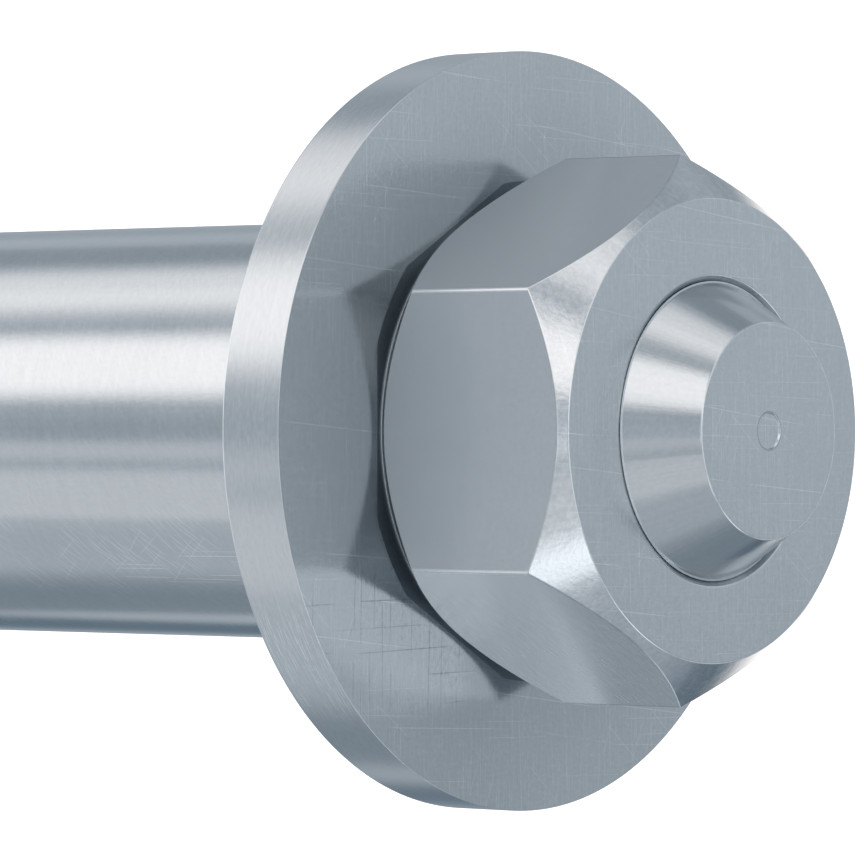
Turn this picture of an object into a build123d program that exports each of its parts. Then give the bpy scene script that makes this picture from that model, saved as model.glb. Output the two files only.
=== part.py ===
from build123d import *
import os
from math import cos, radians, tan

# Heavy-duty sleeve anchor, stud type: an M8 stud in a 12 mm sleeve. The nut presses the washer, the
# spacer sleeve and the crush ring on to a slotted expansion sleeve, and draws the cone nut on the
# stud's lower end up into its slotted end, which spreads in the drill hole.
# Lengths are millimetres and angles degrees. Z runs along the stud, from the cone nut's flat end at
# 0 up to the stud's tip, and the pieces are stacked on each other in that order.

# Stud, threaded along its whole length, with a conical tip above the nut
stud_diameter = 8.0
thread_pitch = 1.25
thread_play = 0.06
stud_recess = 1.0
tip_diameter = 5.86
tip_height = 1.8
tip_sink = 0.05
centre_mark_diameter = 1.0
centre_mark_depth = 0.04

# Hexagon nut, with its corners turned off by a cone at both faces
nut_across_flats = 13.0
nut_height = 6.45
nut_face_diameter = 12.56
nut_chamfer_angle = 45.0
nut_mouth = 0.17

# Washer
washer_diameter = 21.0
washer_thickness = 2.0
washer_edge = 0.08

# Sleeves, which pass through the fixture's hole and the drill hole
drill_hole_diameter = 12.0
hole_clearance = 0.075
bore_clearance = 0.2
sleeve_edge = 0.3
spacer_length = 35.0

# Crush ring, of plastic, which folds at its grooves when the fixture is drawn tight
crush_length = 8.0
crush_inset = 0.2
crush_groove_count = 3
crush_groove_depth = 0.45
crush_groove_width = 1.2

# Expansion sleeve, slotted into leaves from its lower end
expansion_length = 27.0
slot_count = 4
slot_width = 1.2
slot_length = 22.0
slot_first_angle = 45.0
seat_gap = 0.05

# Cone nut: a short rim, then a taper that stands in the expansion sleeve's lower end
cone_rim_height = 3.0
cone_rim_inset = 0.2
cone_taper_length = 10.0
cone_lip = 0.44
cone_reach = 5.0
cone_edge = 0.4

# How far a cutting shape passes the surface that it cuts
cut_margin = 0.5

# Radii that several pieces share
stud_radius = stud_diameter / 2
thread_bore_radius = stud_radius + thread_play
sleeve_bore_radius = stud_radius + bore_clearance
sleeve_radius = drill_hole_diameter / 2 - hole_clearance
cone_rim_radius = sleeve_radius - cone_rim_inset
cone_lip_radius = thread_bore_radius + cone_lip
thread_depth = 0.6134 * thread_pitch

# Heights of the stack, from the bottom up
cone_height = cone_rim_height + cone_taper_length
expansion_bottom = cone_height - cone_reach
crush_bottom = expansion_bottom + expansion_length
spacer_bottom = crush_bottom + crush_length
washer_bottom = spacer_bottom + spacer_length
nut_bottom = washer_bottom + washer_thickness
nut_top = nut_bottom + nut_height
tip_base = nut_top - tip_sink
tip_top = nut_top + tip_height


def turned(*points):
    """Solid of revolution about Z of the closed outline through (radius, height) points."""
    return revolve(Plane.XZ * make_face(Polyline(*points, close=True)), Axis.Z)


def cone_radius(height):
    """Radius of the cone nut's taper at a height."""
    slope = (cone_rim_radius - cone_lip_radius) / cone_taper_length
    return cone_rim_radius - slope * (height - cone_rim_height)


def tube(outer, inner, bottom, length, outer_edge, inner_edge):
    """Upright tube with its four round edges chamfered."""
    top = bottom + length
    return turned(
        (inner + inner_edge, bottom),
        (outer - outer_edge, bottom),
        (outer, bottom + outer_edge),
        (outer, top - outer_edge),
        (outer - outer_edge, top),
        (inner + inner_edge, top),
        (inner, top - inner_edge),
        (inner, bottom + inner_edge),
    )


def make_stud():
    """Stud with a chamfered lower end, a conical tip and the lathe's centre mark in the tip."""
    body = turned(
        (0, stud_recess),
        (stud_radius - thread_depth, stud_recess),
        (stud_radius, stud_recess + thread_depth),
        (stud_radius, tip_base),
        (tip_diameter / 2, tip_top),
        (0, tip_top),
    )
    mark = turned(
        (0, tip_top - centre_mark_depth),
        (centre_mark_diameter / 2, tip_top - centre_mark_depth),
        (centre_mark_diameter / 2, tip_top + cut_margin),
        (0, tip_top + cut_margin),
    )
    return body - mark


def make_cone_nut():
    """Expansion cone with a plain rim below and a threaded bore, drawn here at the stud's size."""
    return turned(
        (thread_bore_radius, 0),
        (cone_rim_radius - cone_edge, 0),
        (cone_rim_radius, cone_edge),
        (cone_rim_radius, cone_rim_height),
        (cone_lip_radius, cone_height),
        (thread_bore_radius, cone_height),
    )


def make_expansion_sleeve():
    """Tube whose lower bore opens out to the cone's taper, cut into leaves by slots with round ends."""
    top = expansion_bottom + expansion_length
    bore = cone_lip_radius + seat_gap
    mouth = cone_radius(expansion_bottom) + seat_gap
    wall = turned(
        (mouth, expansion_bottom),
        (sleeve_radius, expansion_bottom),
        (sleeve_radius, top - sleeve_edge),
        (sleeve_radius - sleeve_edge, top),
        (bore, top),
        (bore, cone_height),
    )
    straight = slot_length - slot_width / 2
    outline = Pos(0, straight / 2) * Rectangle(slot_width, straight)
    outline += Pos(0, straight) * Circle(slot_width / 2)
    cutter = extrude(Pos(0, 0, expansion_bottom) * (Plane.XZ * outline), sleeve_radius + cut_margin)
    for number in range(slot_count):
        wall -= Rot(0, 0, slot_first_angle + number * 360 / slot_count) * cutter
    return wall


def make_crush_ring():
    """Plastic ring with shallow V grooves round it, evenly spaced between its flat ends."""
    outer = sleeve_radius - crush_inset
    spacing = crush_length / (crush_groove_count + 1)
    outline = [(sleeve_bore_radius, crush_bottom), (outer, crush_bottom)]
    for number in range(crush_groove_count):
        middle = crush_bottom + spacing * (number + 1)
        outline += [
            (outer, middle - crush_groove_width / 2),
            (outer - crush_groove_depth, middle),
            (outer, middle + crush_groove_width / 2),
        ]
    top = crush_bottom + crush_length
    return turned(*outline, (outer, top), (sleeve_bore_radius, top))


def make_spacer_sleeve():
    """Plain tube between the crush ring and the washer."""
    return tube(
        sleeve_radius, sleeve_bore_radius, spacer_bottom, spacer_length, sleeve_edge, sleeve_edge
    )


def make_washer():
    """Flat washer with its edges lightly broken."""
    return tube(
        washer_diameter / 2,
        sleeve_bore_radius,
        washer_bottom,
        washer_thickness,
        washer_edge,
        washer_edge,
    )


def make_hex_nut():
    """Hexagonal prism, corners towards X, cut by a blank with coned ends, and its bore."""
    corner_radius = nut_across_flats / 2 / cos(radians(30))
    blank_radius = corner_radius + cut_margin
    face_radius = nut_face_diameter / 2
    drop = (blank_radius - face_radius) * tan(radians(nut_chamfer_angle))
    blank = turned(
        (0, nut_bottom),
        (face_radius, nut_bottom),
        (blank_radius, nut_bottom + drop),
        (blank_radius, nut_top - drop),
        (face_radius, nut_top),
        (0, nut_top),
    )
    prism = Pos(0, 0, nut_bottom) * extrude(RegularPolygon(corner_radius, 6), nut_height)
    mouth_radius = thread_bore_radius + nut_mouth
    bore = turned(
        (0, nut_bottom),
        (mouth_radius, nut_bottom),
        (thread_bore_radius, nut_bottom + nut_mouth),
        (thread_bore_radius, nut_top - nut_mouth),
        (mouth_radius, nut_top),
        (0, nut_top),
    )
    return (prism & blank) - bore


makers = {
    "stud": make_stud,
    "cone_nut": make_cone_nut,
    "expansion_sleeve": make_expansion_sleeve,
    "crush_ring": make_crush_ring,
    "spacer_sleeve": make_spacer_sleeve,
    "washer": make_washer,
    "hex_nut": make_hex_nut,
}

os.makedirs("parts", exist_ok=True)
for name, make in makers.items():
    export_step(make(), f"parts/{name}.step")
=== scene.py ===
from math import atan, cos, floor, pi, radians, sin

import bmesh
import bpy
import numpy as np
from mathutils import Matrix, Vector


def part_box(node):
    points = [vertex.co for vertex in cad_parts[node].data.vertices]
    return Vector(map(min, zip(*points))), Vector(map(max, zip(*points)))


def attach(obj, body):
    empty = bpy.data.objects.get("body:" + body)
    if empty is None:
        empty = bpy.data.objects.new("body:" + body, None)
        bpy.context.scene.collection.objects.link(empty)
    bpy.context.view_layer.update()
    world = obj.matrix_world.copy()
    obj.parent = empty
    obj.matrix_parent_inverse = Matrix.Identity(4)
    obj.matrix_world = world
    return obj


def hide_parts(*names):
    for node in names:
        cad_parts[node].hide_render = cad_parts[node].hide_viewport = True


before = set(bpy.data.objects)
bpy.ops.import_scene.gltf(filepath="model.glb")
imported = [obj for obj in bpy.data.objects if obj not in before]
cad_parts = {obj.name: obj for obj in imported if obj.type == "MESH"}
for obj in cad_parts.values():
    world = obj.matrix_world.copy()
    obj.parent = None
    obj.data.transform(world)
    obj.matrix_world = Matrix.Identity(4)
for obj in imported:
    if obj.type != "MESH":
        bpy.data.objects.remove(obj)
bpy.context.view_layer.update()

# The sleeve anchor stands on its cone nut with the stud along Z. Lengths are metres, and mm turns
# a length in millimetres into metres. Angles of the pieces' grids are radians about Z from +X.
# An easing is how far the rounding of a corner reaches along its two sides.
mm = 0.001


def reach(node):
    """Largest radius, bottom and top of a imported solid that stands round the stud."""
    low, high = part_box(node)
    return high.x, low.z, high.z


stud_radius, stud_bottom, stud_top = reach("stud")
nut_corner, nut_bottom, nut_top = reach("hex_nut")
nut_half_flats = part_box("hex_nut")[1].y
washer_radius, washer_bottom, washer_top = reach("washer")
sleeve_radius, spacer_bottom, spacer_top = reach("spacer_sleeve")
crush_radius, crush_bottom, crush_top = reach("crush_ring")
slotted_radius, slotted_bottom, slotted_top = reach("expansion_sleeve")
cone_radius, cone_bottom, cone_top = reach("cone_nut")

# Stud and its thread: the crest is an eighth and the root a quarter of the pitch wide
thread_pitch = 1.25 * mm
thread_depth = 0.5413 * thread_pitch
thread_play = 0.06 * mm
stud_end_chamfer = 0.767 * mm
stud_end_border = 0.1 * mm
stud_rim_height = 0.2 * mm
stud_rim_slope = 0.05 * mm
stud_rim_radius = 4.05 * mm
stud_rim_easing = 0.006 * mm
ledge_rise = 0.005 * mm
ledge_easing = 0.008 * mm
tip_base_radius = 4.0 * mm
tip_height = 1.85 * mm
tip_radius = 2.93 * mm
tip_easing = 0.035 * mm
mark_radius = 0.5 * mm
mark_slope = 0.03 * mm
mark_depth = 0.05 * mm
mark_easing = 0.012 * mm

# Nut and the mouths of the threaded bores
nut_face_radius = 6.28 * mm
nut_edge_round = 0.07 * mm
nut_foot_radius = 6.37 * mm
nut_foot_height = 0.035 * mm
nut_foot_easing = 0.006 * mm
nut_edge_easing = 0.03 * mm
nut_face_easing = 0.025 * mm
mouth_radius = 4.205 * mm
mouth_slope = 0.12 * mm
mouth_lean = 0.04 * mm
mouth_bore_radius = 4.055 * mm
mouth_depth = 0.25 * mm
mouth_easing = 0.03 * mm
countersink_easing = 0.01 * mm
thread_run_in = 0.35 * mm

# Plain bores, the crush ring's grooves, the expansion sleeve's slots and the cone
plain_bore_radius = 4.2 * mm
washer_foot_easing = 0.05 * mm
washer_head_easing = 0.02 * mm
spacer_easing = 0.28 * mm
ring_easing = 0.12 * mm
groove_easing = 0.1 * mm
groove_count = 3
groove_half_width = 0.6 * mm
groove_depth = 0.45 * mm
slot_count = 4
slot_half_width = 0.6 * mm
slot_length = 22 * mm
slot_first_angle = radians(45)
slotted_bore_radius = 4.55 * mm
slotted_mouth_radius = 5.1625 * mm
leaf_edge_bevel = 0.12 * mm
cone_rim_height = 3 * mm
cone_rim_chamfer = 0.4 * mm
cone_rim_easing = 0.1 * mm
cone_taper_easing = 0.3 * mm
cone_lip_radius = 4.5 * mm
cone_lip_easing = 0.06 * mm


def even_angles(count):
    """Angles of count columns round the axis, with the first one repeated at a full turn."""
    return np.linspace(0, 2 * pi, count + 1)


def eased(outline, columns):
    """Rows of radius and height along an outline whose corners are eased.

    A corner is a radius, a height and an easing t, and each may vary over the columns. Corner P
    becomes the parabola P + t((1 - s)^2 u + s^2 v), s from 0 to 1, where u and v point along its
    two sides. One more row at P + 1.7 t u and at P + 1.7 t v keeps the sides' shading flat.
    """
    corners = np.stack([np.stack([np.broadcast_to(c, columns) for c in corner]) for corner in outline])
    points, easing = corners[:, :2], corners[:, None, 2:]
    before = np.roll(points, 1, axis=0) - points
    after = np.roll(points, -1, axis=0) - points
    before /= np.maximum(np.linalg.norm(before, axis=1, keepdims=True), 1e-12)
    after /= np.maximum(np.linalg.norm(after, axis=1, keepdims=True), 1e-12)
    s = np.linspace(0, 1, 6)
    along = np.concatenate([[1.7], (1 - s) ** 2, [0]])[None, :, None, None]
    across = np.concatenate([[0], s**2, [1.7]])[None, :, None, None]
    rows = points[:, None] + easing * (along * before[:, None] + across * after[:, None])
    return rows.reshape(-1, 2, columns)


def swept(rows, angles):
    """Grid of points: each row of radius r and height z is carried round to (r cos a, r sin a, z)."""
    radius, height = rows[:, 0], rows[:, 1]
    return np.stack([radius * np.cos(angles), radius * np.sin(angles), height], axis=-1)


def turned(outline, angles, closed=False):
    """Surface of revolution of an eased outline, closed on itself where closed is true."""
    rows = eased(outline, len(angles))
    if closed:
        rows = np.concatenate([rows, rows[:1]])
    return swept(rows, angles)


def groove(angle, height):
    """Depth of the thread's groove at an angle and height.

    The phase f is the fraction part of z / pitch - a / 2 pi, so the crest climbs one pitch a turn.
    t = 1 - |2f - 1| runs from 0 at the crest to 1 at the root, and the depth grows evenly over the
    flank, where t is from 1/8 to 3/4.
    """
    phase = np.mod(height / thread_pitch - angle / (2 * pi), 1)
    t = 1 - np.abs(2 * phase - 1)
    return thread_depth * np.clip((t - 1 / 8) / (5 / 8), 0, 1)


def helical(bottom, top, radius, angles):
    """Grid whose rows climb one pitch a turn and end flat at bottom and top.

    A row that starts at height h lies at h + pitch a / 2 pi, held between bottom and top, and
    radius(angle, height) gives its distance from the axis. The rows follow the thread's edges.
    """
    steps = np.array([0, 1, 2, 5, 6, 7, 9, 10, 11, 14, 15]) / 16
    turns = np.arange(floor(bottom / thread_pitch) - 2, floor(top / thread_pitch) + 2)
    starts = (turns[:, None] + steps).ravel() * thread_pitch
    height = np.clip(starts[:, None] + thread_pitch * angles / (2 * pi), bottom, top)
    distance = radius(np.broadcast_to(angles, height.shape), height)
    return np.stack([distance * np.cos(angles), distance * np.sin(angles), height], axis=-1)


def stud_surface(angle, height):
    """Radius of the threaded stud: its blank less the groove, which runs out below the plain rim."""
    blank = np.minimum(stud_radius, stud_radius - stud_end_chamfer + height - stud_bottom)
    rim = stud_top - tip_height - stud_rim_height
    run_out = np.clip((rim - height) / thread_run_in, 0, 1)
    return np.minimum(blank, stud_radius - run_out * groove(angle, height))


def bore_surface(bottom, top):
    """Radius of a threaded bore that clears the stud's thread and runs in from both mouths."""

    def radius(angle, height):
        depth = np.minimum(height - bottom, top - height) - mouth_depth
        run_in = np.clip(depth / thread_run_in, 0, 1)
        threaded = stud_radius + thread_play - groove(angle, height)
        return mouth_bore_radius + run_in * (threaded - mouth_bore_radius)

    return radius


def threaded_bore(bottom, top, angles):
    """Bore between its two mouths, with its rows from the top down so that it faces the axis."""
    inner_bottom, inner_top = bottom + mouth_depth, top - mouth_depth
    return helical(inner_bottom, inner_top, bore_surface(bottom, top), angles)[::-1]


def mouth_corners(height, inwards, angles):
    """Outline of a bore's mouth from its face inwards: a countersink, then a plain bore.

    The countersink leans, so its depth goes up and down with the sine of the angle.
    """
    depth = mouth_slope + mouth_lean * np.sin(angles)
    return [
        (mouth_radius, height, mouth_easing),
        (mouth_bore_radius, height + inwards * depth, countersink_easing),
        (mouth_bore_radius, height + inwards * mouth_depth, 0),
    ]


def stud_grids():
    """Stud: flat lower end, thread, plain rim with a narrow ledge, conical tip and centre mark."""
    angles = even_angles(96)
    root = stud_radius - stud_end_chamfer
    rim = stud_top - tip_height
    rim_bottom = rim - stud_rim_height
    border = root - stud_end_border
    end = turned([(0, stud_bottom, 0), (border, stud_bottom, 0), (root, stud_bottom, 0)], angles)
    thread = helical(stud_bottom, rim_bottom, stud_surface, angles)
    tip = turned(
        [
            (stud_radius, rim_bottom, 0),
            (stud_rim_radius, rim_bottom + stud_rim_slope, 0),
            (stud_rim_radius, rim, stud_rim_easing),
            (tip_base_radius, rim + ledge_rise, ledge_easing),
            (tip_radius, stud_top, tip_easing),
            (mark_radius, stud_top, mark_easing),
            (mark_radius - mark_slope, stud_top - mark_depth, mark_easing),
            (0, stud_top - mark_depth, 0),
        ],
        angles,
    )
    return [end, thread, tip]


def hexagon_angles():
    """Column angles of the nut: close together over each rounded corner, even over the flats."""
    corner = corner_reach()
    near = corner * np.array([0, 0.35, 0.7, 1, 1.5])
    half = np.concatenate([near, np.linspace(corner * 3, pi / 6, 14)])
    sector = np.concatenate([-half[::-1], half[1:]])
    angles = (sector[:-1] + np.arange(6)[:, None] * pi / 3).ravel()
    return np.append(angles, angles[0] + 2 * pi)


def corner_reach():
    """Angle from a corner's middle to where its rounding meets the flat."""
    centre = nut_corner - nut_edge_round / sin(pi / 3)
    return atan(nut_edge_round * 0.5 / (centre + nut_edge_round * cos(pi / 6)))


def hexagon_radius(angles):
    """Distance of the nut's wall from the axis.

    With d the angle from the nearest corner, a flat is at h / cos(30 degrees - |d|), h being half
    the width across flats. Within the corner's reach it is c cos d + sqrt(q^2 - c^2 sin^2 d), the
    circle of radius q that touches both flats and is centred c from the axis.
    """
    d = np.mod(angles + pi / 6, pi / 3) - pi / 6
    flat = nut_half_flats / np.cos(pi / 6 - np.abs(d))
    centre = nut_corner - nut_edge_round / sin(pi / 3)
    root = np.sqrt(np.maximum(nut_edge_round**2 - (centre * np.sin(d)) ** 2, 0))
    return np.where(np.abs(d) < corner_reach() * 1.001, centre * np.cos(d) + root, flat)


def nut_grids():
    """Nut: hexagonal wall cut by a cone at both faces, a narrow foot and the threaded bore."""
    angles = hexagon_angles()
    wall = hexagon_radius(angles)
    drop = wall - nut_face_radius
    outline = mouth_corners(nut_bottom, 1, angles)[::-1] + [
        (nut_foot_radius, nut_bottom, nut_foot_easing),
        (nut_foot_radius, nut_bottom + nut_foot_height, nut_foot_easing),
        (wall, nut_bottom + drop, nut_edge_easing),
        (wall, nut_top - drop, nut_edge_easing),
        (nut_face_radius, nut_top, nut_face_easing),
    ] + mouth_corners(nut_top, -1, angles)
    return [turned(outline, angles), threaded_bore(nut_bottom, nut_top, angles)]


def tube_grids(outer, inner, bottom, top, foot, head):
    """Upright tube, whose round edges have the easing foot below and head above."""
    outline = [(outer, bottom, foot), (outer, top, head), (inner, top, head), (inner, bottom, foot)]
    return [turned(outline, even_angles(256), closed=True)]


def crush_grids():
    """Crush ring: a tube with V grooves evenly spaced up its outer wall."""
    spacing = (crush_top - crush_bottom) / (groove_count + 1)
    outline = [
        (plain_bore_radius, crush_bottom, groove_easing),
        (crush_radius, crush_bottom, ring_easing),
    ]
    for number in range(1, groove_count + 1):
        middle = crush_bottom + spacing * number
        outline += [
            (crush_radius, middle - groove_half_width, ring_easing),
            (crush_radius - groove_depth, middle, groove_easing),
            (crush_radius, middle + groove_half_width, ring_easing),
        ]
    outline += [(crush_radius, crush_top, ring_easing), (plain_bore_radius, crush_top, groove_easing)]
    return [turned(outline, even_angles(256), closed=True)]


def cone_grids():
    """Cone nut: short chamfered rim, long taper, narrow lip and the threaded bore."""
    angles = even_angles(160)
    outline = mouth_corners(cone_bottom, 1, angles)[::-1] + [
        (cone_radius - cone_rim_chamfer, cone_bottom, cone_rim_easing),
        (cone_radius, cone_bottom + cone_rim_chamfer, cone_rim_easing),
        (cone_radius, cone_bottom + cone_rim_height, cone_taper_easing),
        (cone_lip_radius, cone_top, cone_lip_easing),
    ] + mouth_corners(cone_top, -1, angles)
    return [turned(outline, angles), threaded_bore(cone_bottom, cone_top, angles)]


def slot_half(height):
    """Half the slot's width at a height: parallel sides, then a half circle, then nothing."""
    centre = slotted_bottom + slot_length - slot_half_width
    rise = np.maximum(height - centre, 0)
    return np.sqrt(np.maximum(slot_half_width**2 - rise**2, 0))


def leaf_grid(radius, height, first, columns):
    """One quarter of the sleeve, from the side of one slot to the side of the next.

    At radius r and height z the slot takes the angle asin(w / r) on each side, w being half its
    width there, so its sides are parallel, and the columns share out the angle that is left.
    """
    side = np.arcsin(slot_half(height) / radius)[:, None]
    share = np.linspace(0, 1, columns)
    angle = first + side + share * (2 * pi / slot_count - 2 * side)
    return np.stack(
        [radius[:, None] * np.cos(angle), radius[:, None] * np.sin(angle), height[:, None] + 0 * angle],
        axis=-1,
    )


def slotted_grids():
    """Expansion sleeve: outer wall, top, bore and lower rim of each leaf, and the slots' sides."""
    round_start = slotted_bottom + slot_length - slot_half_width
    straight = np.linspace(slotted_bottom, round_start, 12)
    rounding = round_start + slot_half_width * np.sin(np.linspace(0, pi / 2, 10)[1:])
    above = np.linspace(slotted_bottom + slot_length, slotted_top, 6)[1:]
    height = np.concatenate([straight, rounding, above])
    outer = np.full_like(height, slotted_radius)
    taper = np.clip((cone_top - height) / (cone_top - slotted_bottom), 0, 1)
    inner = slotted_bore_radius + taper * (slotted_mouth_radius - slotted_bore_radius)
    slotted = len(straight) + len(rounding)
    grids = []
    for number in range(slot_count):
        first = slot_first_angle + number * 2 * pi / slot_count
        wall = leaf_grid(outer, height, first, 33)
        bore = leaf_grid(inner, height, first, 33)
        grids += [wall, bore[::-1], np.stack([wall[-1], bore[-1]]), np.stack([bore[0], wall[0]])]
        grids.append(np.stack([bore[:slotted, 0], wall[:slotted, 0]], axis=1))
        grids.append(np.stack([wall[:slotted, -1], bore[:slotted, -1]], axis=1))
    return grids


def mesh_of(name, grids):
    """Mesh of quads between neighbouring points of every grid, with coinciding points merged.

    The merging joins the grids, closes their seams and draws each pole together.
    """
    points, quads, count = [], [], 0
    for grid in grids:
        rows, columns = grid.shape[:2]
        index = count + np.arange(rows * columns).reshape(rows, columns)
        corners = [index[:-1, :-1], index[:-1, 1:], index[1:, 1:], index[1:, :-1]]
        quads.append(np.stack(corners, axis=-1).reshape(-1, 4))
        points.append(grid.reshape(-1, 3))
        count += rows * columns
    mesh = bpy.data.meshes.new(name)
    mesh.from_pydata(np.concatenate(points).tolist(), [], np.concatenate(quads).tolist())
    joined = bmesh.new()
    joined.from_mesh(mesh)
    bmesh.ops.remove_doubles(joined, verts=joined.verts, dist=0.001 * mm)
    joined.to_mesh(mesh)
    joined.free()
    mesh.shade_smooth()
    return mesh


class Signal:
    """A socket of a shader: arithmetic on it adds Math nodes, with the name of each operation."""

    def __init__(self, graph, socket):
        self.graph, self.socket = graph, socket

    def out(self, name):
        """Another output of the node that this one comes from."""
        return Signal(self.graph, self.socket.node.outputs[name])

    def math(self, operation, *others):
        sockets = dict(enumerate((self,) + others))
        return self.graph.node("ShaderNodeMath", {"operation": operation}, sockets)

    def __add__(self, other):
        return self.math("ADD", other)

    def __sub__(self, other):
        return self.math("SUBTRACT", other)

    def __rsub__(self, other):
        return self * -1 + other

    def __mul__(self, other):
        return self.math("MULTIPLY", other)

    def __truediv__(self, other):
        return self.math("DIVIDE", other)

    __radd__ = __add__
    __rmul__ = __mul__

    def step(self, low, high):
        """0 below low and 1 above high, smooth between; the other way round where low is higher."""
        settings = {"interpolation_type": "SMOOTHSTEP"}
        sockets = {"Value": self, "From Min": low, "From Max": high}
        return self.graph.node("ShaderNodeMapRange", settings, sockets)


class Graph:
    """The nodes of one material or of the world."""

    def __init__(self, tree):
        self.tree = tree
        tree.nodes.clear()

    def node(self, kind, settings=None, sockets=None, output=0):
        """Adds a node: its settings first, then a value or link for each named or numbered socket."""
        made = self.tree.nodes.new(kind)
        for name, value in (settings or {}).items():
            setattr(made, name, value)
        for name, value in (sockets or {}).items():
            if isinstance(value, Signal):
                self.tree.links.new(value.socket, made.inputs[name])
            else:
                made.inputs[name].default_value = value
        return Signal(self, made.outputs[output]) if made.outputs else made

    def vector(self, operation, *values, output=0):
        """A Vector Math node."""
        sockets = dict(enumerate(values))
        return self.node("ShaderNodeVectorMath", {"operation": operation}, sockets, output)

    def mix(self, factor, low, high):
        """Colour from low to high as factor goes from 0 to 1."""
        settings = {"data_type": "RGBA"}
        return self.node("ShaderNodeMix", settings, {0: factor, 6: low, 7: high}, 2)

    def noise(self, place, stretch, detail=2.0, roughness=0.5):
        """Noise from 0 to 1 at a place in millimetres, with stretch grains a millimetre on each axis."""
        scaled = self.vector("MULTIPLY", place, stretch)
        sockets = {"Vector": scaled, "Scale": 1.0, "Detail": detail, "Roughness": roughness}
        return self.node("ShaderNodeTexNoise", {}, sockets)

    def place(self):
        """Object coordinates in millimetres."""
        coordinates = self.node("ShaderNodeTexCoord", output="Object")
        return self.vector("MULTIPLY", coordinates, (1 / mm, 1 / mm, 1 / mm))

    def axes(self, vector):
        """X, Y and Z of a vector or colour."""
        x = self.node("ShaderNodeSeparateXYZ", {}, {0: vector})
        return x, x.out("Y"), x.out("Z")

    def turn(self, place, angle):
        """A place turned about Z."""
        settings = {"rotation_type": "Z_AXIS"}
        return self.node("ShaderNodeVectorRotate", settings, {"Vector": place, "Angle": angle})

    def scale(self, vector, factor):
        """A vector or colour times a number that varies."""
        return self.node("ShaderNodeVectorMath", {"operation": "SCALE"}, {0: vector, "Scale": factor})

    def surface(self, colour, rough, height, metallic=0.0):
        """The look of a material: colour, roughness, relief in metres and share of bare metal."""
        bump = self.node("ShaderNodeBump", {}, {"Height": height, "Distance": 1.0, "Strength": 1.0})
        sockets = {"Base Color": colour, "Metallic": metallic, "Roughness": rough, "Normal": bump}
        look = self.node("ShaderNodeBsdfPrincipled", {}, sockets)
        self.node("ShaderNodeOutputMaterial", {}, {"Surface": look})

    def scratches(self, place, layers):
        """Layers of straight scratches across a plane, added up.

        A layer is its turn about Z in radians, the lane, length and width of its scratches in
        millimetres, the share of cells that have one, its seed and its strength. The turned plane
        is cut into cells of length by lane. White noise of the cell's numbers says whether it has
        a scratch, how far across the cell it lies and how it slants.
        """
        total = 0
        for turn, lane, length, width, share, seed, strength in layers:
            x, y, _ = self.axes(self.turn(place, turn))
            v = y / lane
            row = v.math("FLOOR")
            settings = {"noise_dimensions": "1D"}
            u = x / length + self.node("ShaderNodeTexWhiteNoise", settings, {"W": row + seed})
            cell = self.node("ShaderNodeCombineXYZ", {}, {0: u.math("FLOOR"), 1: row, 2: seed})
            chance = self.node("ShaderNodeTexWhiteNoise", {}, {"Vector": cell}).out("Color")
            drawn, shift, slant = self.axes(chance)
            across = v - row - (shift * 0.5 + 0.25)
            along = u.math("FRACT") - 0.5
            line = across - along * (slant - 0.5) * 0.5
            mark = line.math("ABSOLUTE").step(width / lane, 0)
            ends = along.math("ABSOLUTE").step(0.5, 0.3)
            total = mark * ends * drawn.step(1 - share, 1 - share * 0.6) * strength + total
        return total


def new_material(name):
    """A material and its empty graph."""
    material = bpy.data.materials.new(name)
    material.use_nodes = True
    return material, Graph(material.node_tree)


# Colour of the metal at level 1, and what it goes towards at level 0
zinc = (0.465, 0.50, 0.525)
dark_tint = (0.0, 0.03, 0.05)


def metal(name, roughness, finish):
    """Zinc-plated steel, whose colour, gloss and relief follow the finish of one piece.

    finish(graph, place, facing) gives five numbers over the surface: the grain of its making, its
    bright scratches and painted highlights, its dark marks and painted shade, how matt it is and how
    much of it is a dull film. facing is the surface's own direction.
    """
    material, graph = new_material(name)
    place = graph.place()
    facing = graph.node("ShaderNodeTexCoord", output="Normal")
    grain, bright, dark, matt, film = finish(graph, place, facing)
    cloud = graph.noise(place, (0.3, 0.3, 0.3), 2.0)
    level = (0.93 + grain * 0.12 + cloud * 0.06 + bright * 0.4) * (1 - dark)
    twice_as_far = tuple(2 * c - d for c, d in zip(zinc, dark_tint))
    colour = graph.mix(level * 0.5, dark_tint + (1,), twice_as_far + (1,))
    rough = roughness + matt * 0.15 + grain * 0.04 + (cloud - 0.5) * 0.06 + (bright + dark) * 0.1
    graph.surface(colour, rough, grain * 0.000001, 1 - film)
    return material


# Finishes: lengths in them are millimetres, and the two numbers of a step are where it is 0 and 1


def crossed_lines(graph, place):
    """A haze of fine lines along X and fewer along Y, as rolled sheet has."""
    along = graph.noise(place, (0.9, 14.0, 0.3), 2.0, 0.7).step(0.45, 0.8)
    across = graph.noise(place, (9.0, 1.6, 0.3), 2.0, 0.7).step(0.5, 0.8)
    return along * 0.6 + across * 0.4


def speckle(graph, place, stretch=(8.0, 8.0, 8.0)):
    """Fine uneven grain, from -0.5 to 0.5."""
    return graph.noise(place, stretch, 3.0, 0.65).step(0.3, 0.7) - 0.5


def round_lines(graph, place, stretch=6.0):
    """Fine lines that run round the axis, as a lathe leaves them."""
    return graph.noise(place, (0.25, 0.25, stretch), 2.0, 0.6).step(0.3, 0.75)


def radial_lines(graph, place):
    """Fine lines that run straight out from the axis, down the slope of a cone."""
    out = graph.vector("NORMALIZE", graph.vector("MULTIPLY", place, (1, 1, 0)))
    return graph.noise(out, (30.0, 30.0, 0.2), 2.0, 0.6).step(0.3, 0.75)


def upright(graph, facing):
    """How far the surface faces up or down, from 0 to 1."""
    return graph.axes(facing)[2].math("ABSOLUTE")


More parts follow.
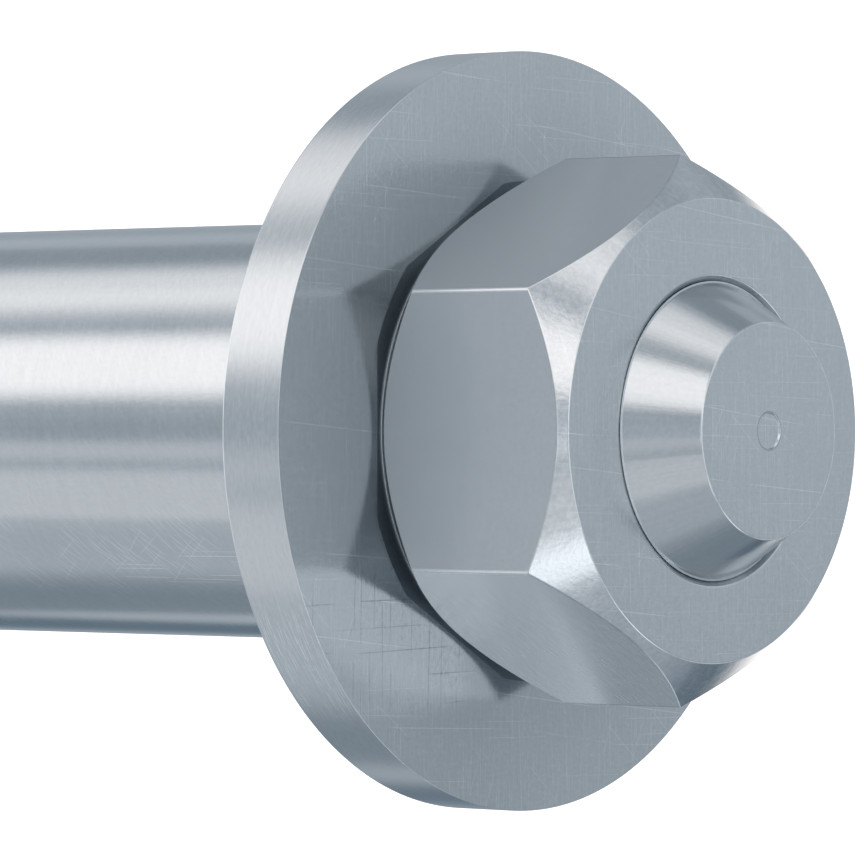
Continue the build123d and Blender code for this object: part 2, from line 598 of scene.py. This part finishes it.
def off_axis(graph, place):
    """Distance from the axis in millimetres."""
    return graph.vector("LENGTH", graph.vector("MULTIPLY", place, (1, 1, 0)), output="Value")


def patches(graph, place, size):
    """Soft patches of about that many millimetres, where scratches gather."""
    return graph.noise(place, (1 / size, 1 / size, 1 / size), 1.0).step(0.42, 0.66)


def flat_scratches(graph, place):
    """Thin light scratches on the flat faces: many along X, fewer along Y, short ones aslant."""
    lines = graph.scratches(place, [
        (0.02, 0.16, 1.9, 0.014, 0.45, 71, 0.35),
        (-0.03, 0.33, 3.1, 0.015, 0.5, 83, 0.45),
        (1.59, 0.36, 3.4, 0.014, 0.4, 97, 0.5),
    ])
    aslant = graph.scratches(place, [
        (0.42, 0.45, 1.7, 0.015, 0.35, 3, 0.5),
        (2.25, 0.5, 2.0, 0.015, 0.35, 11, 0.5),
    ])
    long = graph.scratches(place, [(1.66, 1.1, 5.5, 0.022, 0.5, 101, 0.55)])
    gathered = patches(graph, place, 3.0)
    return (lines * (0.45 + gathered * 0.55) + long + aslant * gathered).math("MINIMUM", 1.0)


def unrolled(graph, place, radius):
    """A round wall laid flat: arc length and height in millimetres."""
    x, y, z = graph.axes(place)
    arc = y.math("ARCTAN2", x) * (radius / mm)
    return graph.node("ShaderNodeCombineXYZ", {}, {0: arc, 1: z})


def washer_finish(graph, place, facing):
    """Crossed lines on the faces, faint round ones on the rim, and dark scratches on one side.

    Below the nut the face is darkened with painted shade, as far as the larger of |y| and
    |x| cos 30 + |y| / 2 is within half the width across flats. More painted shade darkens the face
    round the nut and on its far side, the patch with the dark scratches is lightened all over as a
    painted reflection, and one stretch of the rim has more scratches and a painted highlight.
    """
    flat = upright(graph, facing).step(0.86, 0.97)
    rim = unrolled(graph, place, washer_radius)
    rim_grain = round_lines(graph, place) * 0.22 + speckle(graph, rim, (4.0, 9.0, 1.0)) * 0.5
    face_grain = crossed_lines(graph, place) * 1.1 + speckle(graph, place) * 0.5
    grain = face_grain * flat + rim_grain * (1 - flat)
    arc = graph.axes(rim)[0]
    rubbed = arc.step(-12.2, -10.6) * arc.step(-7.4, -8.6)
    rubs_and_painted_sheen = graph.scratches(rim, [
        (0.05, 0.1, 0.9, 0.011, 0.7, 37, 1),
        (-0.06, 0.14, 1.3, 0.011, 0.6, 31, 1),
    ])
    # rubbed * 0.2 lightens that stretch of the rim with a painted highlight, besides its denser
    # scratches
    rubs_and_painted_sheen = rubs_and_painted_sheen * (rubbed * 1.2 + 0.08) + rubbed * 0.2
    bright = flat_scratches(graph, place) * flat + rubs_and_painted_sheen * (1 - flat)
    x, y, _ = graph.axes(place)
    radius = off_axis(graph, place)
    wear_and_painted_sheen = x.step(3.0, 4.2) * x.step(7.9, 6.9) * y.step(-2.2, -3.6) * flat
    dark = graph.scratches(place, [
        (0.02, 0.4, 3.6, 0.022, 0.8, 41, 0.45),
        (1.56, 0.7, 4.6, 0.024, 0.8, 53, 0.45),
        (0.55, 0.5, 1.7, 0.015, 0.5, 67, 0.225),
        (-0.5, 0.6, 1.6, 0.015, 0.5, 59, 0.225),
    ])
    mottle = graph.noise(place, (6.0, 9.0, 1.0), 3.0, 0.7).step(0.42, 0.7) * 0.22
    # The patch's dark scratches and mottle are wear, and the - 0.22 lightens the whole patch as a
    # painted reflection
    dark = ((dark + mottle - 0.22) * wear_and_painted_sheen).math("MINIMUM", 0.42)
    # Painted shade: the face is darkened under the nut's overhang, out to the nut's hexagon
    slant = (x * cos(pi / 6)).math("ABSOLUTE") + y.math("ABSOLUTE") * 0.5
    across = y.math("ABSOLUTE").math("MAXIMUM", slant)
    within = across.step(nut_half_flats / mm + 0.03, nut_half_flats / mm - 0.01)
    foot = within * radius.step(6.94, 6.9) * flat
    # Painted shade: darker towards the nut's foot and on the face's far side
    shade = radius.step(10.8, 5.5) * 0.21 + x.step(7.1, 8.0) * y.step(1.5, -2.5) * 0.11
    dark = (dark + shade * flat).math("MAXIMUM", foot * 0.68)
    return grain, bright, dark, foot + (1 - flat) * 0.3, 0.0


def nut_finish(graph, place, facing):
    """Crossed lines on the faces, a rough cast to the chamfers, and flats under a dull film.

    The four corners off the X axis are lightened with a painted highlight and the two on it are
    darkened with painted shade, and the foot and the edge of the chamfers at the corner on +X carry
    a painted highlight. Four flats, those that face away from ±Y, are darkened with painted shade,
    one is brushed and crossed by a painted diagonal highlight, and half the bore's mouth is
    darkened with painted shade.
    """
    tilt = upright(graph, facing)
    flat, wall = tilt.step(0.86, 0.97), tilt.step(0.3, 0.12)
    chamfer = 1 - flat - wall
    x, y, z = graph.axes(place)
    radius = off_axis(graph, place)
    side = unrolled(graph, place, nut_half_flats)
    arc = graph.axes(side)[0]
    one_flat = x.step(3.4, 5.2) * arc.step(0.4, -0.4) * wall
    # Painted light on the corners: the four off the X axis get a painted highlight, the two on it
    # painted shade
    corner = radius.step(nut_corner / mm - 0.045, nut_corner / mm - 0.02) * wall
    painted_light_side = y.math("ABSOLUTE").step(2.0, 4.0)
    spots = speckle(graph, place)

    face_grain = crossed_lines(graph, place) + spots * 0.6 + 0.45
    cast = graph.noise(place, (2.6, 2.6, 2.6), 3.0, 0.6).step(0.35, 0.75)
    chamfer_grain = radial_lines(graph, place) * 0.5 + cast * 0.7 + spots * 0.8
    wall_grain = graph.noise(place, (1.1, 1.1, 3.0), 2.0) * 0.3 + spots * 0.4
    brushed = graph.noise(side, (1.8, 9.0, 1.0), 3.0, 0.7).step(0.35, 0.7) - 0.45
    grain = face_grain * flat + chamfer_grain * chamfer + wall_grain * wall
    grain = grain + brushed * one_flat * 1.5

    strokes = graph.scratches(side, [(-0.2, 0.13, 0.9, 0.014, 0.7, 61, 1.1)]) * arc.step(-3.4, -2.2)
    # Painted highlight: a soft diagonal band of light across the brushed flat
    painted_highlight_streak = (z - (nut_bottom / mm + 2.45) + arc * 0.434).math("ABSOLUTE").step(0.5, 0.1)
    rubs_and_painted_sheen = (strokes * patches(graph, place, 1.2) + painted_highlight_streak * 0.3) * one_flat
    # Painted highlight along the rounding between wall and upper chamfer at the corner on +X
    edge = tilt.step(0.08, 0.25) * tilt.step(0.69, 0.5) * x.step(5.0, 6.0) * y.step(-3.8, -1.6)
    upper = z.step(nut_bottom / mm + 3, nut_top / mm - 3)
    foot_top = (nut_bottom + nut_foot_height) / mm
    # Painted highlight: a thin bright line along the wall of the nut's foot
    foot = z.step(foot_top + 0.02, foot_top) * wall
    bright = flat_scratches(graph, place) * (flat + chamfer * 0.4) + corner * painted_light_side
    bright = bright + rubs_and_painted_sheen + foot * 3 + edge * upper * 3

    sideways = graph.axes(facing)[0].math("ABSOLUTE")
    # Painted shade: the flats facing away from ±Y are darkened, and so is the mouth's countersink on +Y
    mouth = radius.step(mouth_radius / mm + 0.005, mouth_radius / mm - 0.025) * (1 - flat)
    dark = wall * sideways.step(0.3, 0.7) * 0.18 + corner * (1 - painted_light_side) * 0.3
    dark = dark + mouth * y.step(0.8, 2.2) * 0.6
    return grain, bright, dark, wall * 0.2, wall * 0.2


def sleeve_finish(graph, place, facing):
    """A smooth drawn wall with a faint slanting grain, and scratches rubbed into one side."""
    wall = unrolled(graph, place, sleeve_radius)
    slanting = graph.noise(graph.turn(wall, -0.6), (1.4, 9.0, 1.0), 3.0, 0.65).step(0.35, 0.75)
    grain = slanting * 0.3 + round_lines(graph, place) * 0.25
    grain = grain + speckle(graph, wall, (9.0, 3.0, 1.0)) * 0.3
    arc, height, _ = graph.axes(wall)
    rubbed = arc.step(-7.6, -5.8) * arc.step(-3.0, -4.2)
    marks = graph.scratches(wall, [
        (-0.85, 0.16, 1.2, 0.014, 0.6, 5, 1),
        (-0.6, 0.2, 1.6, 0.013, 0.6, 17, 1),
        (0.9, 0.4, 1.4, 0.013, 0.5, 23, 0.7),
    ])
    marks = marks * (rubbed * 0.9 + 0.1) * (0.1 + patches(graph, place, 2.5))
    top = spacer_top / mm
    scored = arc.step(-6.0, -5.6) * arc.step(-4.3, -4.8) * height.step(top - 10, top - 8.8)
    marks = marks + graph.scratches(wall, [(1.57, 0.17, 2.6, 0.02, 0.6, 29, 1)]) * scored
    return grain, marks.math("MINIMUM", 1.0), 0.0, 0.0, 0.0


def stud_finish(graph, place, facing):
    """Crossed lines on the end and radial ones on the tip, and a dull line round the centre mark."""
    flat = upright(graph, facing).step(0.9, 0.98)
    ring = (off_axis(graph, place) - (mark_radius / mm + 0.02)).math("ABSOLUTE").step(0.03, 0.012)
    spots = speckle(graph, place)
    grain = (crossed_lines(graph, place) * 1.2 + spots * 0.6 + 0.55) * flat
    grain = grain + (radial_lines(graph, place) * 0.3 + spots * 0.4) * (1 - flat)
    dark = (1 - flat) * 0.05 + ring * flat * 0.3
    return grain, flat_scratches(graph, place) * flat, dark, 0.0, 0.0


def cone_finish(graph, place, facing):
    """Lathe lines all round."""
    return round_lines(graph, place, 4.0) * 0.7, flat_scratches(graph, place) * 0.5, 0.0, 0.0, 0.0


def plastic(name, tint):
    """Matt moulded plastic with a fine dull grain and faint clouds."""
    material, graph = new_material(name)
    place = graph.place()
    grain = graph.noise(place, (7.0, 7.0, 7.0), 3.0)
    cloud = graph.noise(place, (0.5, 0.5, 0.5), 2.0)
    darker, lighter = (tuple(c * share for c in tint) + (1,) for share in (0.8, 1.2))
    colour = graph.mix(grain * 0.25 + cloud * 0.5, darker, lighter)
    graph.surface(colour, 0.48 + grain * 0.14, grain * 0.000004)
    return material


def add_piece(name, grids, node, body, material):
    """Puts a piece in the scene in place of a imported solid, on that solid's body."""
    piece = bpy.data.objects.new(name, mesh_of(name, grids))
    bpy.context.scene.collection.objects.link(piece)
    piece.data.materials.append(material)
    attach(piece, body)
    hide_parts(node)
    return piece


nut_metal = metal("nut_steel", 0.16, nut_finish)
washer_metal = metal("washer_steel", 0.17, washer_finish)
sleeve_metal = metal("sleeve_steel", 0.14, sleeve_finish)
stud_metal = metal("stud_steel", 0.15, stud_finish)
cone_metal = metal("cone_steel", 0.2, cone_finish)
ring_plastic = plastic("ring_plastic", (0.17, 0.18, 0.19))

add_piece("threaded_stud", stud_grids(), "stud", "stud_and_cone", stud_metal)
add_piece("chamfered_nut", nut_grids(), "hex_nut", "nut", nut_metal)
washer = tube_grids(
    washer_radius, plain_bore_radius, washer_bottom, washer_top, washer_foot_easing, washer_head_easing
)
add_piece("thick_washer", washer, "washer", "sleeve_stack", washer_metal)
spacer = tube_grids(
    sleeve_radius, plain_bore_radius, spacer_bottom, spacer_top, spacer_easing, spacer_easing
)
add_piece("long_sleeve", spacer, "spacer_sleeve", "sleeve_stack", sleeve_metal)
add_piece("folding_ring", crush_grids(), "crush_ring", "sleeve_stack", ring_plastic)
slotted = add_piece(
    "slotted_sleeve", slotted_grids(), "expansion_sleeve", "sleeve_stack", sleeve_metal
)
add_piece("threaded_cone", cone_grids(), "cone_nut", "stud_and_cone", cone_metal)

bevel = slotted.modifiers.new("broken_edges", "BEVEL")
bevel.width = leaf_edge_bevel
bevel.segments = 3
bevel.limit_method = "ANGLE"
bevel.angle_limit = radians(40)
bevel.harden_normals = True


floor_half_width = 3.0


def make_floor():
    """Wide pale floor that the camera sees as white with the object's soft shadow on it.

    Reflections pass through it, so the metal shows the same surround above and below.
    """
    edges = [-floor_half_width, floor_half_width]
    x, y = np.meshgrid(edges, edges)
    mesh = mesh_of("floor", [np.stack([x, y, 0 * x], axis=-1).transpose(1, 0, 2)])
    floor_object = bpy.data.objects.new("floor", mesh)
    bpy.context.scene.collection.objects.link(floor_object)
    material, graph = new_material("pale_floor")
    rays = graph.node("ShaderNodeLightPath", output="Is Camera Ray")
    paint = graph.node("ShaderNodeBsdfDiffuse", {}, {"Color": (0.8, 0.8, 0.8, 1)})
    glow = graph.node("ShaderNodeEmission", {}, {"Color": (1, 1, 1, 1), "Strength": rays * 0.45})
    seen = graph.node("ShaderNodeAddShader", {}, {0: paint, 1: glow})
    clear = graph.node("ShaderNodeBsdfTransparent")
    passing = rays.out("Is Glossy Ray").math("MAXIMUM", rays.out("Is Shadow Ray"))
    surface = graph.node("ShaderNodeMixShader", {}, {0: passing, 1: seen, 2: clear})
    graph.node("ShaderNodeOutputMaterial", {}, {"Surface": surface})
    mesh.materials.append(material)


# Upright strip lights round the object: azimuth in degrees from +X, half width of the full
# strength and of the whole strip, and how much brighter than the surround it is
strips = [
    (-177, 4, 21, 0.66),
    (-165, 6, 15, 0.19),
    (-127, 9, 24, 1.12),
    (-79, 1, 7, 0.25),
    (-54, 11, 17, 0.32),
    (-38, 3, 7, 0.08),
    (-18, 11, 21, 0.07),
]
# Upright grey flags that stand below the horizon: azimuth, the same half widths and the share of
# the surround that they take
flags = [(43, 26, 52, 0.4), (55, 2, 17, 0.42), (105, 6, 27, 0.3), (151, 7, 12, 0.27), (-91, 2, 8, 0.12)]
# Lamps: azimuth, elevation, radius of full strength and of the whole lamp, and brightness, which is
# below zero for a grey flag
lamps = [
    (-24, 45, 2, 12, 1.46),
    (30, 42, 8, 16, 1.32),
    (104, 39, 8, 16, 0.1),
    (71, 41, 8, 16, -0.1),
    (150, 44, 8, 16, 0.5),
    (-82, 48, 2, 8, 0.25),
    (-91, 37, 10, 16, 0.4),
    (60, 24, 5, 13, 0.5),
    (118, 24, 5, 13, 0.38),
    (90, 80, 20, 33, 0.62),
    (40, -40, 2, 7, 0.34),
    (-90, -75, 12, 28, 0.9),
]
# Long lamp lying level: middle azimuth, half widths, middle elevation, half heights, brightness
level_lamp = (86, 14, 34, -18, 5, 15, 1.29)
# Brightness of the surround, and the colours of the surround, the lamps and the strips
surround_level = 0.659
cool_surround = (0.924, 1.0, 1.074)
soft_light = (1.03, 1.0, 0.985)
warm_light = (1.14, 1.0, 0.915)


def make_world():
    """White surround for the camera, and for reflections the same surround with flags and lights."""
    world = bpy.data.worlds.new("studio")
    world.use_nodes = True
    bpy.context.scene.world = world
    graph = Graph(world.node_tree)
    direction = graph.node("ShaderNodeTexCoord", output="Generated")
    level = graph.vector("NORMALIZE", graph.vector("MULTIPLY", direction, (1, 1, 0)))

    def near(way, azimuth, elevation, inner, outer):
        """1 within the inner angle of a direction, 0 beyond the outer one and smooth between."""
        a, e = radians(azimuth), radians(elevation)
        aim = (cos(a) * cos(e), sin(a) * cos(e), sin(e))
        towards = graph.vector("DOT_PRODUCT", way, aim, output="Value")
        return towards.step(cos(radians(outer)), cos(radians(inner)))

    height = graph.axes(direction)[2]
    below = height.step(0.4, -0.1)
    azimuth, inner, outer, elevation, half, whole, strength = level_lamp
    rise = (height - sin(radians(elevation))).math("ABSOLUTE")
    light = near(level, azimuth, 0, inner, outer) * rise.step(sin(radians(whole)), sin(radians(half)))
    light = light * strength
    for azimuth, inner, outer, strength in strips:
        light = light + near(level, azimuth, 0, inner, outer) * strength
    surround = 1
    for azimuth, inner, outer, share in flags:
        surround = surround * (1 - near(level, azimuth, 0, inner, outer) * below * share)
    lamp = 0
    for azimuth, elevation, inner, outer, strength in lamps:
        lamp = lamp + near(direction, azimuth, elevation, inner, outer) * strength
    soft = graph.scale(soft_light, lamp + (surround - 1) * surround_level)
    warm = graph.scale(warm_light, light)
    cool = tuple(c * surround_level for c in cool_surround)
    studio = graph.vector("ADD", graph.vector("ADD", warm, soft), cool)
    rays = graph.node("ShaderNodeLightPath", output="Is Camera Ray")
    plain = rays.math("MAXIMUM", rays.out("Is Transmission Ray"))
    colour = graph.mix(plain, studio, (1, 1, 1, 1))
    background = graph.node("ShaderNodeBackground", {}, {"Color": colour, "Strength": 1.0})
    graph.node("ShaderNodeOutputWorld", {}, {"Surface": background})


# Camera: degrees above the horizon, focal length and sensor width in millimetres, and its place
camera_elevation = 40.6
focal_length = 257.67
sensor_width = 36
camera_place = (0.027 * mm, -131.66 * mm, nut_top + 102.75 * mm)


def make_camera():
    """Camera of the photograph, rolled so that -X is up in the picture."""
    tilt = radians(camera_elevation)
    right = (0, sin(tilt), cos(tilt))
    back = (0, -cos(tilt), sin(tilt))
    data = bpy.data.cameras.new("camera")
    data.lens = focal_length
    data.sensor_width = sensor_width
    data.clip_start, data.clip_end = 0.01, 20
    camera = bpy.data.objects.new("camera", data)
    bpy.context.scene.collection.objects.link(camera)
    turn = Matrix([(right[0], -1, back[0]), (right[1], 0, back[1]), (right[2], 0, back[2])])
    camera.matrix_world = Matrix.Translation(camera_place) @ turn.to_4x4()
    bpy.context.scene.camera = camera


make_floor()
make_world()
make_camera()
bpy.context.scene.view_settings.view_transform = "Standard"
